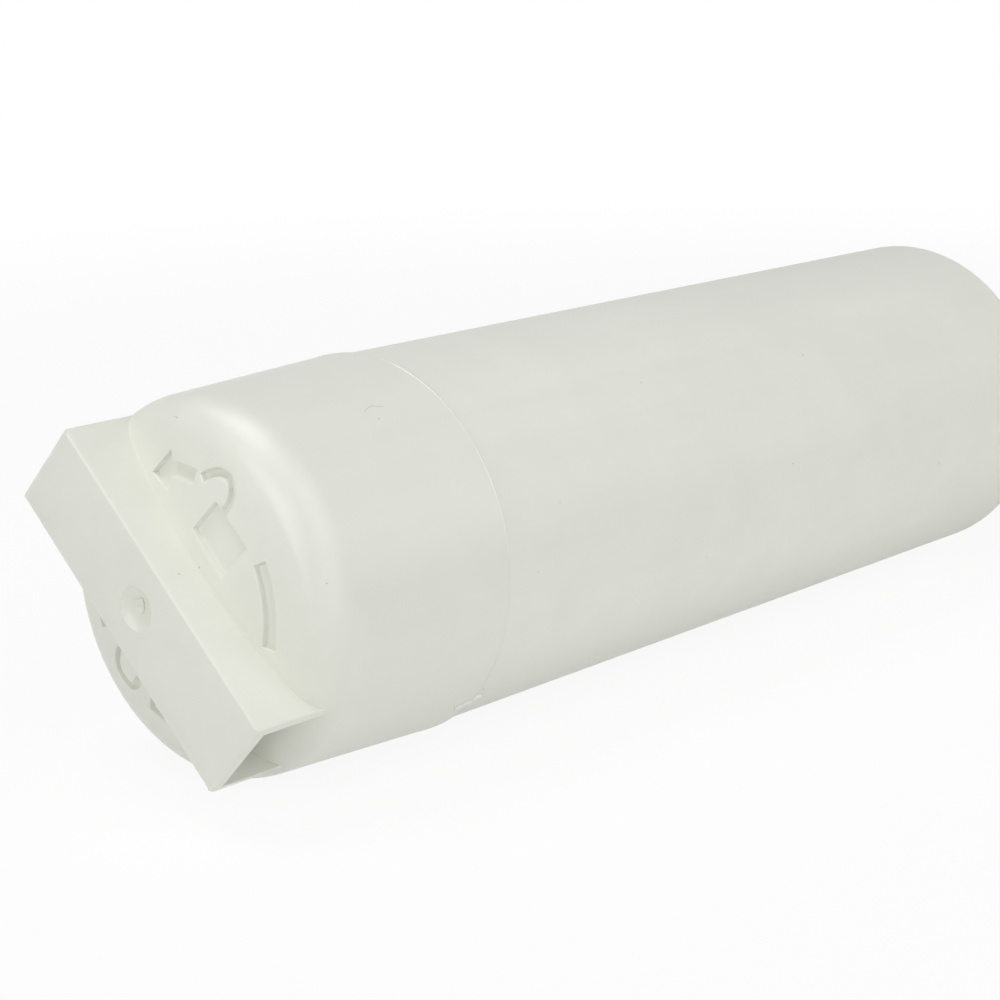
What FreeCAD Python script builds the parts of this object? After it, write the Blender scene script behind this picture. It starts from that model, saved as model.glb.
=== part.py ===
import FreeCAD, Part
import math
import os

# Fridge water filter cartridge, lying with its long axis along X and the neck towards +X.
# The origin is on the long axis, at the stop face of the neck's collar.
# Lengths are in millimetres and angles in degrees.

# Tube and closed far end
TUBE_DIAMETER = 55.0
TUBE_LENGTH = 141.5
TUBE_WALL = 3.0
END_WALL = 3.2
END_EDGE_ROUND = 1.8

# Neck, from the end wall outwards
COLLAR_DIAMETER = 36.0
COLLAR_LENGTH = 10.0
SPIGOT_DIAMETER = 33.0
SPIGOT_LENGTH = 8.0
SEAL_DIAMETER = 28.0
SEAL_LENGTH = 10.0
NOZZLE_DIAMETER = 14.0
NOZZLE_LENGTH = 17.0
NECK_CHAMFER = 0.8
NOZZLE_CHAMFER = 1.2

# Bayonet lugs on the collar
LUG_COUNT = 2
LUG_DIAMETER = 44.0
LUG_THICKNESS = 4.5
LUG_SETBACK = 2.0
LUG_SPAN = 52.0
LUG_RAMP = 10.0
LUG_TURN = 90.0

# Water ways in the neck
NECK_WALL = 3.0
SEAL_WALL = 2.0
SEAL_FRONT_WALL = 2.2
OUTLET_DIAMETER = 7.0
SOCKET_DIAMETER = 11.2
SOCKET_DEPTH = 22.0
SOCKET_WALL = 1.9
INLET_COUNT = 4
INLET_DIAMETER = 2.2

# O-rings and their grooves
RING_FLATS = 6
SEAL_RING_SECTION = 2.65
SEAL_GROOVE_DEPTH = 2.1
SEAL_GROOVE_WIDTH = 3.4
NOZZLE_RING_SECTION = 1.9
NOZZLE_GROOVE_DEPTH = 1.5
NOZZLE_GROOVE_WIDTH = 2.5
SPIGOT_RING_WIDTH = 2.1
SPIGOT_RING_SQUEEZED = 1.5
SPIGOT_GROOVE_WIDTH = 2.5

# Weld lap between tube and cap
TONGUE_LENGTH = 6.0
TONGUE_WALL = 1.4
LAP_END_GAP = 0.4

# Handle cap
RIM_STEP = 0.4
RIM_CHAMFER = 0.25
CAP_LENGTH = 36.9
CAP_DRAFT = 2.3
CAP_WALL = 3.0
CAP_FACE_WALL = 3.0
DOME_RADIUS = 85.0
DOME_EDGE_ROUND = 6.0
THRUST_RING_BORE = 20.0
THRUST_RING_WALL = 2.0
THRUST_RING_HEIGHT = 6.0

# Hollow grip bar across the cap's face
HANDLE_TURN = 47.7
BAR_LENGTH = 50.3
BAR_WIDTH = 14.5
BAR_HEIGHT = 5.95
BAR_PLATE = 1.5
BAR_SIDE_WALL = 1.1
BAR_EDGE_ROUND = 0.4
BAR_END_ROUND = 0.8
DIMPLE_DIAMETER = 6.2
DIMPLE_DEPTH = 0.9
GATE_STUB_DIAMETER = 2.0
GATE_STUB_HEIGHT = 0.35

# Filter stack
SKIRT_FLOW_GAP = 0.8
SKIRT_WALL = 1.2
SKIRT_LENGTH = 6.0
SKIRT_CLEARANCE = 0.1
DISC_PLATE = 3.0
GLUE_THICKNESS = 0.8
RIB_COUNT = 4
RIB_HEIGHT = 2.5
RIB_THICKNESS = 2.0
BOSS_HEIGHT = 4.0
BOSS_CLEARANCE = 0.3
BLOCK_BORE = 12.0
BLOCK_CHAMFER = 0.6
PLUG_LENGTH = 5.0
PLUG_CLEARANCE = 0.3
PASSAGE_DIAMETER = 5.6
SOCKET_CLEARANCE = 0.15
SPIGOT_END_GAP = 1.5
SPIGOT_GROOVE_SETBACK = 4.0
WRAP_THICKNESS = 0.7
NET_THICKNESS = 0.8
NET_COLUMNS = 5
NET_ROWS = 4
NET_OPENING = 0.78
NET_END_BAND = 9.0

# Stations along the axis
x_stop = 0.0
x_end = x_stop - COLLAR_LENGTH
x_end_inner = x_end - END_WALL
x_seam = x_end - TUBE_LENGTH
x_tongue = x_seam - TONGUE_LENGTH
x_lap = x_tongue - LAP_END_GAP
x_face = x_seam - CAP_LENGTH
x_face_inner = x_face + CAP_FACE_WALL
x_bar_front = x_face - BAR_HEIGHT
x_spigot = x_stop + SPIGOT_LENGTH
x_seal = x_spigot + SEAL_LENGTH
x_tip = x_seal + NOZZLE_LENGTH
x_chamber = x_seal - SEAL_FRONT_WALL
x_socket_bottom = x_end_inner + SOCKET_DEPTH
x_outlet_disc = x_end_inner - RIB_HEIGHT
x_outlet_glue = x_outlet_disc - DISC_PLATE
x_block_outlet = x_outlet_glue - GLUE_THICKNESS
x_closed_disc = x_face_inner + THRUST_RING_HEIGHT
x_closed_glue = x_closed_disc + DISC_PLATE
x_block_closed = x_closed_glue + GLUE_THICKNESS
x_spigot_tip = x_socket_bottom - SPIGOT_END_GAP
x_seal_groove = x_spigot + (SEAL_LENGTH - SEAL_GROOVE_WIDTH) / 2
x_nozzle_groove = x_seal + (NOZZLE_LENGTH - NOZZLE_GROOVE_WIDTH) / 2
x_spigot_groove = x_spigot_tip - SPIGOT_GROOVE_SETBACK - SPIGOT_GROOVE_WIDTH

# Radii
tube_r = TUBE_DIAMETER / 2
cavity_r = tube_r - TUBE_WALL
tongue_r = cavity_r + TONGUE_WALL
collar_r = COLLAR_DIAMETER / 2
spigot_r = SPIGOT_DIAMETER / 2
seal_r = SEAL_DIAMETER / 2
seal_groove_r = seal_r - SEAL_GROOVE_DEPTH
nozzle_r = NOZZLE_DIAMETER / 2
nozzle_groove_r = nozzle_r - NOZZLE_GROOVE_DEPTH
outlet_r = OUTLET_DIAMETER / 2
socket_r = SOCKET_DIAMETER / 2
socket_outer_r = socket_r + SOCKET_WALL
neck_bore_r = spigot_r - NECK_WALL
chamber_r = seal_groove_r - SEAL_WALL
draft_slope = math.tan(math.radians(CAP_DRAFT))
rim_r = tube_r + RIM_STEP
face_r = rim_r - CAP_LENGTH * draft_slope
dome_drop = DOME_RADIUS - math.sqrt(DOME_RADIUS ** 2 - face_r ** 2)
cap_inner_r = rim_r - (x_seam - x_closed_disc) * draft_slope - CAP_WALL
ring_bore_r = THRUST_RING_BORE / 2
ring_r = ring_bore_r + THRUST_RING_WALL
skirt_r = min(cavity_r, cap_inner_r) - SKIRT_FLOW_GAP
skirt_bore_r = skirt_r - SKIRT_WALL
net_r = skirt_bore_r - SKIRT_CLEARANCE
wrap_r = net_r - NET_THICKNESS
block_r = wrap_r - WRAP_THICKNESS
block_bore_r = BLOCK_BORE / 2
plug_r = block_bore_r - PLUG_CLEARANCE
passage_r = PASSAGE_DIAMETER / 2
inner_spigot_r = socket_r - SOCKET_CLEARANCE
inner_groove_r = socket_r - SPIGOT_RING_SQUEEZED

ORIGIN = FreeCAD.Vector(0, 0, 0)
AXIS = FreeCAD.Vector(1, 0, 0)


def turned(outline):
    """Solid turned about the long axis from (x, radius) corners; a third value is the leg of a chamfer."""
    corners = [FreeCAD.Vector(item[0], 0, item[1]) for item in outline]
    points = []
    for i, item in enumerate(outline):
        if len(item) == 3:
            back = (corners[i - 1] - corners[i]).normalize()
            ahead = (corners[(i + 1) % len(corners)] - corners[i]).normalize()
            points.append(corners[i] + back * item[2])
            points.append(corners[i] + ahead * item[2])
        else:
            points.append(corners[i])
    wire = Part.makePolygon(points + points[:1])
    return Part.Face(wire).revolve(ORIGIN, AXIS, 360).Solids[0]


def ring_edges(shape, x, radius):
    """The circular edges of a turned shape at one station and radius."""
    found = []
    for edge in shape.Edges:
        if isinstance(edge.Curve, Part.Circle):
            if abs(edge.Curve.Center.x - x) < 1e-6 and abs(edge.Curve.Radius - radius) < 1e-6:
                found.append(edge)
    return found


def box(x, y, z):
    """Box from three (low, high) pairs."""
    size = [high - low for low, high in (x, y, z)]
    return Part.makeBox(size[0], size[1], size[2], FreeCAD.Vector(x[0], y[0], z[0]))


def around(shape, angle):
    """Copy of a shape turned about the long axis."""
    copy = shape.copy()
    copy.rotate(ORIGIN, AXIS, angle)
    return copy


def one_solid(shape):
    """The single solid left by joins and cuts."""
    clean = shape.removeSplitter()
    if len(clean.Solids) != 1:
        raise ValueError("expected one solid, found %d" % len(clean.Solids))
    return clean.Solids[0]


def bayonet_lug(angle):
    """Lug whose rear face ramps away at the end that leads when the cartridge is turned to lock."""
    x_front = x_stop - LUG_SETBACK
    x_rear = x_front - LUG_THICKNESS
    root_r = (collar_r + neck_bore_r) / 2
    lug_r = LUG_DIAMETER / 2
    corners = [(x_rear, root_r), (x_front, root_r), (x_front, lug_r), (x_rear, lug_r), (x_rear, root_r)]
    wire = Part.makePolygon([FreeCAD.Vector(x, 0, r) for x, r in corners])
    lug = around(Part.Face(wire).revolve(ORIGIN, AXIS, LUG_SPAN), -LUG_SPAN / 2)
    ramp = box((x_rear - 2 * LUG_THICKNESS, x_rear), (-2 * lug_r, 0), (0, 2 * lug_r))
    ramp.rotate(FreeCAD.Vector(x_rear, 0, 0), FreeCAD.Vector(0, 0, 1), LUG_RAMP)
    return around(lug.cut(ramp), angle)


def make_housing():
    """Tube, closed end and stepped neck as one moulding, with the outlet socket standing inside the neck."""
    body = turned([
        (x_tongue, cavity_r),
        (x_tongue, tongue_r),
        (x_seam, tongue_r),
        (x_seam, tube_r),
        (x_end, tube_r),
        (x_end, collar_r),
        (x_stop, collar_r, NECK_CHAMFER),
        (x_stop, spigot_r),
        (x_spigot, spigot_r, NECK_CHAMFER),
        (x_spigot, seal_r),
        (x_seal_groove, seal_r),
        (x_seal_groove, seal_groove_r),
        (x_seal_groove + SEAL_GROOVE_WIDTH, seal_groove_r),
        (x_seal_groove + SEAL_GROOVE_WIDTH, seal_r),
        (x_seal, seal_r, NECK_CHAMFER),
        (x_seal, nozzle_r),
        (x_nozzle_groove, nozzle_r),
        (x_nozzle_groove, nozzle_groove_r),
        (x_nozzle_groove + NOZZLE_GROOVE_WIDTH, nozzle_groove_r),
        (x_nozzle_groove + NOZZLE_GROOVE_WIDTH, nozzle_r),
        (x_tip, nozzle_r, NOZZLE_CHAMFER),
        (x_tip, outlet_r),
        (x_socket_bottom, outlet_r),
        (x_socket_bottom, socket_r),
        (x_end_inner, socket_r),
        (x_end_inner, socket_outer_r),
        (x_chamber, socket_outer_r),
        (x_chamber, chamber_r),
        (x_spigot - NECK_WALL, chamber_r),
        (x_spigot - NECK_WALL, neck_bore_r),
        (x_end_inner, neck_bore_r),
        (x_end_inner, cavity_r),
    ])
    body = body.makeFillet(END_EDGE_ROUND, ring_edges(body, x_end, tube_r))
    lugs = [bayonet_lug(LUG_TURN + i * 360 / LUG_COUNT) for i in range(LUG_COUNT)]
    rib = box(
        (x_outlet_disc, x_end_inner + END_WALL / 2),
        (-RIB_THICKNESS / 2, RIB_THICKNESS / 2),
        (neck_bore_r, cavity_r + TUBE_WALL / 2),
    )
    ribs = [around(rib, i * 360 / RIB_COUNT) for i in range(RIB_COUNT)]
    body = body.multiFuse(lugs + ribs)
    inlet_pitch_r = (socket_outer_r + chamber_r) / 2
    inlet = Part.makeCylinder(
        INLET_DIAMETER / 2,
        2 * SEAL_FRONT_WALL,
        FreeCAD.Vector(x_chamber - SEAL_FRONT_WALL / 2, 0, inlet_pitch_r),
        AXIS,
    )
    inlets = [around(inlet, (i + 0.5) * 360 / INLET_COUNT) for i in range(INLET_COUNT)]
    return one_solid(body.cut(inlets))


def cap_outside():
    """Tapering plug whose side runs through a rounded edge, tangent at both ends, into a shallow dome."""
    x_dome = x_face + DOME_RADIUS
    lean = math.sqrt(1 + draft_slope ** 2)
    line_r = rim_r - draft_slope * x_seam - DOME_EDGE_ROUND * lean
    half_b = draft_slope * line_r - x_dome
    rest = x_dome ** 2 + line_r ** 2 - (DOME_RADIUS - DOME_EDGE_ROUND) ** 2
    x_centre = (-half_b - math.sqrt(half_b ** 2 - lean ** 2 * rest)) / lean ** 2
    centre = FreeCAD.Vector(x_centre, 0, draft_slope * x_centre + line_r)
    to_side = FreeCAD.Vector(-draft_slope, 0, 1).normalize()
    to_dome = (centre - FreeCAD.Vector(x_dome, 0, 0)).normalize()
    to_middle = (to_side + to_dome).normalize()
    side_end = centre + to_side * DOME_EDGE_ROUND
    middle = centre + to_middle * DOME_EDGE_ROUND
    dome_end = centre + to_dome * DOME_EDGE_ROUND
    outline = [
        FreeCAD.Vector(dome_end.x, 0, 0),
        FreeCAD.Vector(x_seam, 0, 0),
        FreeCAD.Vector(x_seam, 0, rim_r - RIM_CHAMFER),
        FreeCAD.Vector(x_seam - RIM_CHAMFER, 0, rim_r - RIM_CHAMFER * draft_slope),
        side_end,
    ]
    edges = Part.makePolygon(outline).Edges
    edges.append(Part.Arc(side_end, middle, dome_end).toShape())
    edges.append(Part.makeLine(dome_end, outline[0]))
    plug = Part.Face(Part.Wire(edges)).revolve(ORIGIN, AXIS, 360).Solids[0]
    dome = Part.makeSphere(DOME_RADIUS, FreeCAD.Vector(x_dome, 0, 0))
    dome = dome.common(box((x_face - 1, dome_end.x), (-rim_r, rim_r), (-rim_r, rim_r)))
    return one_solid(plug.fuse(dome))


def make_handle_cap():
    """Tapering cap with a hollow bar that straddles its domed face and runs down onto the rounded edge."""
    outside = cap_outside()
    inside = turned([
        (x_seam, 0),
        (x_seam, tongue_r),
        (x_lap, tongue_r),
        (x_lap, cap_inner_r),
        (x_face_inner + dome_drop, cap_inner_r),
        (x_face_inner, ring_r),
        (x_closed_disc, ring_r),
        (x_closed_disc, ring_bore_r),
        (x_face_inner, ring_bore_r),
        (x_face_inner, 0),
    ])
    shell = outside.cut(inside)
    half_width = BAR_WIDTH / 2
    half_length = BAR_LENGTH / 2
    depth = x_face + dome_drop + DOME_EDGE_ROUND
    bar = box((x_bar_front, depth), (-half_width, half_width), (-half_length, half_length))
    front_edges = [edge for edge in bar.Edges if edge.BoundBox.XMax < x_bar_front + BAR_EDGE_ROUND]
    end_edges = [edge for edge in front_edges if edge.BoundBox.YLength > half_width]
    side_edges = [edge for edge in front_edges if edge.BoundBox.ZLength > half_length]
    bar = bar.makeFillet(BAR_EDGE_ROUND, side_edges).common(bar.makeFillet(BAR_END_ROUND, end_edges))
    channel = box(
        (x_bar_front + BAR_PLATE, depth),
        (BAR_SIDE_WALL - half_width, half_width - BAR_SIDE_WALL),
        (-BAR_LENGTH, BAR_LENGTH),
    )
    bar = bar.cut(channel).cut(outside)
    dimple_r = DIMPLE_DIAMETER / 2
    ball_r = (dimple_r ** 2 + DIMPLE_DEPTH ** 2) / (2 * DIMPLE_DEPTH)
    x_floor = x_bar_front + DIMPLE_DEPTH
    dimple = Part.makeSphere(ball_r, FreeCAD.Vector(x_floor - ball_r, 0, 0))
    stub_foot = FreeCAD.Vector(x_floor - GATE_STUB_HEIGHT, 0, 0)
    stub = Part.makeCylinder(GATE_STUB_DIAMETER / 2, BAR_PLATE / 2, stub_foot, AXIS)
    bar = bar.cut(dimple).fuse(stub)
    return one_solid(shell.fuse(bar))


def make_o_ring(x_middle, groove_r, section):
    """Ring resting on the floor of its groove, its round section drawn as flats."""
    corner_r = section / 2 / math.cos(math.pi / RING_FLATS)
    middle_r = groove_r + section / 2
    outline = []
    for i in range(RING_FLATS):
        angle = (i + 0.5) * 2 * math.pi / RING_FLATS
        outline.append((x_middle + corner_r * math.sin(angle), middle_r + corner_r * math.cos(angle)))
    return turned(outline)


def make_spigot_ring():
    """Ring squeezed between the inner spigot's groove and the wall of the outlet socket."""
    x_low = x_spigot_groove + (SPIGOT_GROOVE_WIDTH - SPIGOT_RING_WIDTH) / 2
    x_high = x_low + SPIGOT_RING_WIDTH
    return turned([
        (x_low, inner_groove_r),
        (x_high, inner_groove_r),
        (x_high, socket_r),
        (x_low, socket_r),
    ])


def make_carbon_block():
    """Pressed carbon tube with lightly broken edges."""
    return turned([
        (x_block_closed, block_bore_r),
        (x_block_closed, block_r, BLOCK_CHAMFER),
        (x_block_outlet, block_r, BLOCK_CHAMFER),
        (x_block_outlet, block_bore_r),
    ])


def sleeve(x_low, x_high, bore_r, outer_r):
    """Plain tube along the axis."""
    return turned([(x_low, bore_r), (x_low, outer_r), (x_high, outer_r), (x_high, bore_r)])


def make_netting():
    """Sleeve pierced by staggered lozenges, so that crossing strands are left between two plain bands."""
    pitch = (x_block_outlet - x_block_closed - 2 * NET_END_BAND) / (NET_ROWS + 1)
    half_wide = math.pi * net_r / NET_COLUMNS * NET_OPENING
    half_long = pitch * NET_OPENING
    lozenges = []
    for row in range(NET_ROWS):
        x = x_block_closed + NET_END_BAND + pitch * (row + 1)
        corners = [(x - half_long, 0), (x, half_wide), (x + half_long, 0), (x, -half_wide), (x - half_long, 0)]
        wire = Part.makePolygon([FreeCAD.Vector(a, b, wrap_r / 2) for a, b in corners])
        lozenge = Part.Face(wire).extrude(FreeCAD.Vector(0, 0, net_r))
        stagger = 0.5 * (row % 2)
        for column in range(NET_COLUMNS):
            lozenges.append(around(lozenge, (column + stagger) * 360 / NET_COLUMNS))
    return one_solid(sleeve(x_block_closed, x_block_outlet, wrap_r, net_r).cut(lozenges))


def make_outlet_disc():
    """End disc with a skirt and plug on the block's side and the sealed outlet spigot on the neck's side."""
    x_skirt = x_outlet_glue - SKIRT_LENGTH
    return turned([
        (x_skirt, skirt_bore_r),
        (x_skirt, skirt_r),
        (x_outlet_disc, skirt_r),
        (x_outlet_disc, inner_spigot_r),
        (x_spigot_groove, inner_spigot_r),
        (x_spigot_groove, inner_groove_r),
        (x_spigot_groove + SPIGOT_GROOVE_WIDTH, inner_groove_r),
        (x_spigot_groove + SPIGOT_GROOVE_WIDTH, inner_spigot_r),
        (x_spigot_tip, inner_spigot_r),
        (x_spigot_tip, passage_r),
        (x_outlet_glue - PLUG_LENGTH, passage_r),
        (x_outlet_glue - PLUG_LENGTH, plug_r),
        (x_outlet_glue, plug_r),
        (x_outlet_glue, skirt_bore_r),
    ])


def make_closed_disc():
    """End disc with a skirt and plug on the block's side and a boss that sits inside the cap's thrust ring."""
    boss_r = ring_bore_r - BOSS_CLEARANCE
    return turned([
        (x_closed_disc - BOSS_HEIGHT, 0),
        (x_closed_disc - BOSS_HEIGHT, boss_r),
        (x_closed_disc, boss_r),
        (x_closed_disc, skirt_r),
        (x_closed_glue + SKIRT_LENGTH, skirt_r),
        (x_closed_glue + SKIRT_LENGTH, skirt_bore_r),
        (x_closed_glue, skirt_bore_r),
        (x_closed_glue, plug_r),
        (x_closed_glue + PLUG_LENGTH, plug_r),
        (x_closed_glue + PLUG_LENGTH, 0),
    ])


seal_ring_x = x_seal_groove + SEAL_GROOVE_WIDTH / 2
nozzle_ring_x = x_nozzle_groove + NOZZLE_GROOVE_WIDTH / 2
pieces = {
    "housing": make_housing(),
    "handle_cap": make_handle_cap(),
    "inlet_o_ring": make_o_ring(seal_ring_x, seal_groove_r, SEAL_RING_SECTION),
    "outlet_o_ring": make_o_ring(nozzle_ring_x, nozzle_groove_r, NOZZLE_RING_SECTION),
    "carbon_block": make_carbon_block(),
    "prefilter_wrap": sleeve(x_block_closed, x_block_outlet, block_r, wrap_r),
    "netting_sleeve": make_netting(),
    "outlet_end_disc": make_outlet_disc(),
    "closed_end_disc": make_closed_disc(),
    "outlet_glue_layer": sleeve(x_block_outlet, x_outlet_glue, block_bore_r, skirt_bore_r),
    "closed_glue_layer": sleeve(x_closed_glue, x_block_closed, block_bore_r, skirt_bore_r),
    "spigot_o_ring": make_spigot_ring(),
}

os.makedirs("parts", exist_ok=True)
for name, shape in pieces.items():
    placed = around(shape, -HANDLE_TURN)
    placed.exportStep("parts/%s.step" % name)
    volume = placed.Volume / 1000
    print("%s: %.1f cm3, %d faces, valid %s" % (name, volume, len(placed.Faces), placed.isValid()))
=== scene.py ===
# %% [markdown]
# # A water filter cartridge for a fridge
# The real object is a closed tube of satin off-white plastic. One end has a moulded cap with a grip bar,
# the other a stepped neck with two rubber rings that goes into the fridge's filter head. We dress the packed
# CAD model with smooth mouldings, finishes and light, and everything stays in the CAD model's own frame.

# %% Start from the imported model
import bpy
import bmesh
import math
import random
from mathutils import Matrix, Vector, geometry


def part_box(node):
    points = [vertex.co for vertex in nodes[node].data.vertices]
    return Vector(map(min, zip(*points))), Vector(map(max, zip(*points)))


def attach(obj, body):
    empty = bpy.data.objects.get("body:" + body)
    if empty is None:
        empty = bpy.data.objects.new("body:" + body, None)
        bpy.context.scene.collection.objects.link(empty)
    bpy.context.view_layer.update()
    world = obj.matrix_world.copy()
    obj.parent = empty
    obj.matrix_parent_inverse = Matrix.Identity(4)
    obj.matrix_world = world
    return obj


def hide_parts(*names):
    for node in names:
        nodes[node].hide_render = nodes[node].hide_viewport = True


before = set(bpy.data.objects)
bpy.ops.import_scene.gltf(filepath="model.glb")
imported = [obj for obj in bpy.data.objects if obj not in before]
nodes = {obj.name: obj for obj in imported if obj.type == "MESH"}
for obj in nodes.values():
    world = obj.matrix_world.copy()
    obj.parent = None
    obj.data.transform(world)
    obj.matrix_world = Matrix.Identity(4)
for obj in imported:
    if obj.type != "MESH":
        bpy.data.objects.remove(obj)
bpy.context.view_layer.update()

print("CAD nodes:", sorted(nodes))

# %% [markdown]
# ## Sizes
# The drawing is in millimetres and Blender works in metres, so every length below is in millimetres and is
# multiplied by MM when a point is placed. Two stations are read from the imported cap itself: the weld seam
# and the front of the grip bar.

# %% Sizes of the mouldings
MM = 0.001
cap_low, cap_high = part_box("handle_cap")
SEAM_X = cap_high[0] / MM
BAR_FRONT = SEAM_X - cap_low[0] / MM
RIM_R = 27.89
RIM_CHAMFER = 0.25
RIM_FLAT = 0.5
CAP_SLOPE = math.tan(math.radians(2.3))
CROWN = 36.9
DOME_R = 85.0
EDGE_ROUND = 6.0
FACE_WALL = 3.0
BAR_TURN = math.radians(47.7)
ROUND_STEPS = 192
CRISP = 32.0
print("seam at x %.2f mm, bar front %.2f mm from the seam" % (SEAM_X, BAR_FRONT))

# %% [markdown]
# ## Small helpers for meshes
# A mesh is a list of points and a list of faces. This little collector keeps both, closes rings of points into
# bands, and gives back a Blender object with its normals pointing outwards. Edges that turn by more than a
# given angle stay crisp and all others are shaded smooth, as on a moulding.


# %% Mesh collector
class Moulding:
    """Points and faces of one piece, in millimetres until it is made."""

    def __init__(self):
        self.points = []
        self.faces = []

    def ring(self, points):
        """Adds a row of points and returns their numbers."""
        first = len(self.points)
        self.points.extend(points)
        return list(range(first, len(self.points)))

    def band(self, low, high):
        """Closes the strip between two rings of the same count."""
        count = len(low)
        for i in range(count):
            j = (i + 1) % count
            self.faces.append((low[i], low[j], high[j], high[i]))

    def skin(self, rings):
        """Closes the strips between rings that follow each other."""
        for low, high in zip(rings, rings[1:]):
            self.band(low, high)

    def fan(self, ring, point):
        """Closes a ring onto one middle point."""
        middle = self.ring([point])[0]
        for i in range(len(ring)):
            self.faces.append((ring[i], ring[(i + 1) % len(ring)], middle))

    def pod(self, rows, first, last):
        """A closed solid through rows of points, with a middle point at each end."""
        rings = [self.ring(row) for row in rows]
        self.skin(rings)
        self.fan(rings[0], first)
        self.fan(rings[-1], last)

    def prism(self, low, high):
        """A closed solid between two flat rings of points."""
        rows = [self.ring(low), self.ring(high)]
        self.skin(rows)
        self.faces += [tuple(row) for row in rows]

    def make(self, name, crisp_angle=CRISP):
        mesh = bpy.data.meshes.new(name)
        mesh.from_pydata([[c * MM for c in p] for p in self.points], [], self.faces)
        tidy_normals(mesh, crisp_angle)
        return in_scene(name, mesh)


def evenly(first, last, count):
    """Values from the first to the last in a count of equal steps."""
    return [first + (last - first) * k / count for k in range(count + 1)]


def steps_round(count):
    """Angles of equal steps round a full turn."""
    return evenly(0, 2 * math.pi, count)[:-1]


print("a turn in 4 steps:", ["%.2f" % turn for turn in steps_round(4)])


# %% From mesh to object
def in_scene(name, data):
    """A new object at the origin, in the scene."""
    piece = bpy.data.objects.new(name, data)
    bpy.context.scene.collection.objects.link(piece)
    return piece


def tidy_normals(mesh, crisp_angle):
    """Merges doubles, points faces outwards and keeps edges crisp past an angle."""
    work = bmesh.new()
    work.from_mesh(mesh)
    bmesh.ops.remove_doubles(work, verts=work.verts, dist=1e-7)
    bmesh.ops.recalc_face_normals(work, faces=work.faces)
    work.to_mesh(mesh)
    work.free()
    mesh.polygons.foreach_set("use_smooth", [True] * len(mesh.polygons))
    mesh.set_sharp_from_angle(angle=math.radians(crisp_angle))


def plain_mesh(piece):
    """The evaluated mesh of an object, with its modifiers applied and removed."""
    graph = bpy.context.evaluated_depsgraph_get()
    mesh = bpy.data.meshes.new_from_object(piece.evaluated_get(graph))
    piece.modifiers.clear()
    return mesh


def joined(piece, tool, operation):
    """Joins or cuts one closed solid with another and drops the tool."""
    modifier = piece.modifiers.new("join", "BOOLEAN")
    modifier.operation = operation
    modifier.solver = "EXACT"
    modifier.object = tool
    piece.data = plain_mesh(piece)
    bpy.data.objects.remove(tool)
    tidy_normals(piece.data, CRISP)


def tell(title, *pieces):
    """Prints how many triangles some pieces have."""
    count = sum(len(polygon.vertices) - 2 for piece in pieces for polygon in piece.data.polygons)
    print("%s: %d triangles" % (title, count))


print("edges stay crisp past %.0f degrees" % CRISP)

# %% [markdown]
# ## The cap's outline
# The cap is a tapering cup. Its side runs through a rounded edge into a shallow dome, and the three meet without
# a corner. The rounded edge is a circle that touches the dome from inside and the side from inside, so its centre
# comes from one quadratic equation. `out` is the distance from the weld seam towards the grip bar.

# %% Cap outline
lean = math.sqrt(1 + CAP_SLOPE ** 2)
dome_out = CROWN - DOME_R
line_r = RIM_R - EDGE_ROUND * lean
half_b = -CAP_SLOPE * line_r - dome_out
rest = dome_out ** 2 + line_r ** 2 - (DOME_R - EDGE_ROUND) ** 2
edge_out = (-half_b + math.sqrt(half_b ** 2 - lean ** 2 * rest)) / lean ** 2
edge_r = line_r - CAP_SLOPE * edge_out
side_angle = math.atan2(CAP_SLOPE, 1)
dome_angle = math.atan2(edge_out - dome_out, edge_r)
dome_end_r = edge_r + EDGE_ROUND * math.cos(dome_angle)
FACE_R = 24.2
face_angle = math.acos((FACE_R - edge_r) / EDGE_ROUND)


def cap_height(r):
    """Distance from the seam of the cap's outer surface at a radius on its dome or rounded edge."""
    if r <= dome_end_r:
        return dome_out + math.sqrt(DOME_R ** 2 - r ** 2)
    step = min(r - edge_r, EDGE_ROUND)
    return edge_out + math.sqrt(EDGE_ROUND ** 2 - step ** 2)


def on_cap(u, v, out):
    """Place of a point of the cap: u across the bar, v along it, both seen from outside."""
    y = -u * math.cos(BAR_TURN) + v * math.sin(BAR_TURN)
    z = u * math.sin(BAR_TURN) + v * math.cos(BAR_TURN)
    return (SEAM_X - out, y, z)


def circle(radius, steps=ROUND_STEPS):
    """Points of a circle round the cap's axis, in u and v."""
    return [(radius * math.cos(t), radius * math.sin(t)) for t in steps_round(steps)]


def cap_ring(out, r, steps=ROUND_STEPS):
    """Ring of points round the cap's axis."""
    return [on_cap(u, v, out) for u, v in circle(r, steps)]


print("dome ends at radius %.2f mm, %.2f mm from the seam" % (dome_end_r, cap_height(dome_end_r)))

# %% [markdown]
# ## Signs on the dome
# Two generic signs are sunk into the dome beside the bar: an open padlock with an arrow for unlocking, and a
# closed padlock with the arrow the other way for locking. Bump alone would vanish in the exported mesh, so they are
# real recesses. Each sign is a closed outline in the face's own u and v. The second arrow mirrors the first and lies
# a little further out.


# %% Curves for the signs
def arc(radius, start, end, step=2.0):
    """Points on a circle round the cap's axis, between two angles in degrees."""
    count = max(2, int(abs(end - start) / step))
    angles = [math.radians(angle) for angle in evenly(start, end, count)]
    return [(radius * math.cos(a), radius * math.sin(a)) for a in angles]


def smooth_path(corners, per_span=4):
    """Catmull-Rom curve through the corners."""
    ends = [corners[0]] + corners + [corners[-1]]
    path = []
    for i in range(1, len(ends) - 2):
        a, b, c, d = [Vector(p) for p in ends[i - 1:i + 3]]
        for k in range(per_span):
            t = k / per_span
            path.append(0.5 * (2 * b + (c - a) * t + (2 * a - 5 * b + 4 * c - d) * t * t
                               + (3 * b - 3 * c + d - a) * t ** 3))
    return path + [Vector(corners[-1])]


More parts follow.
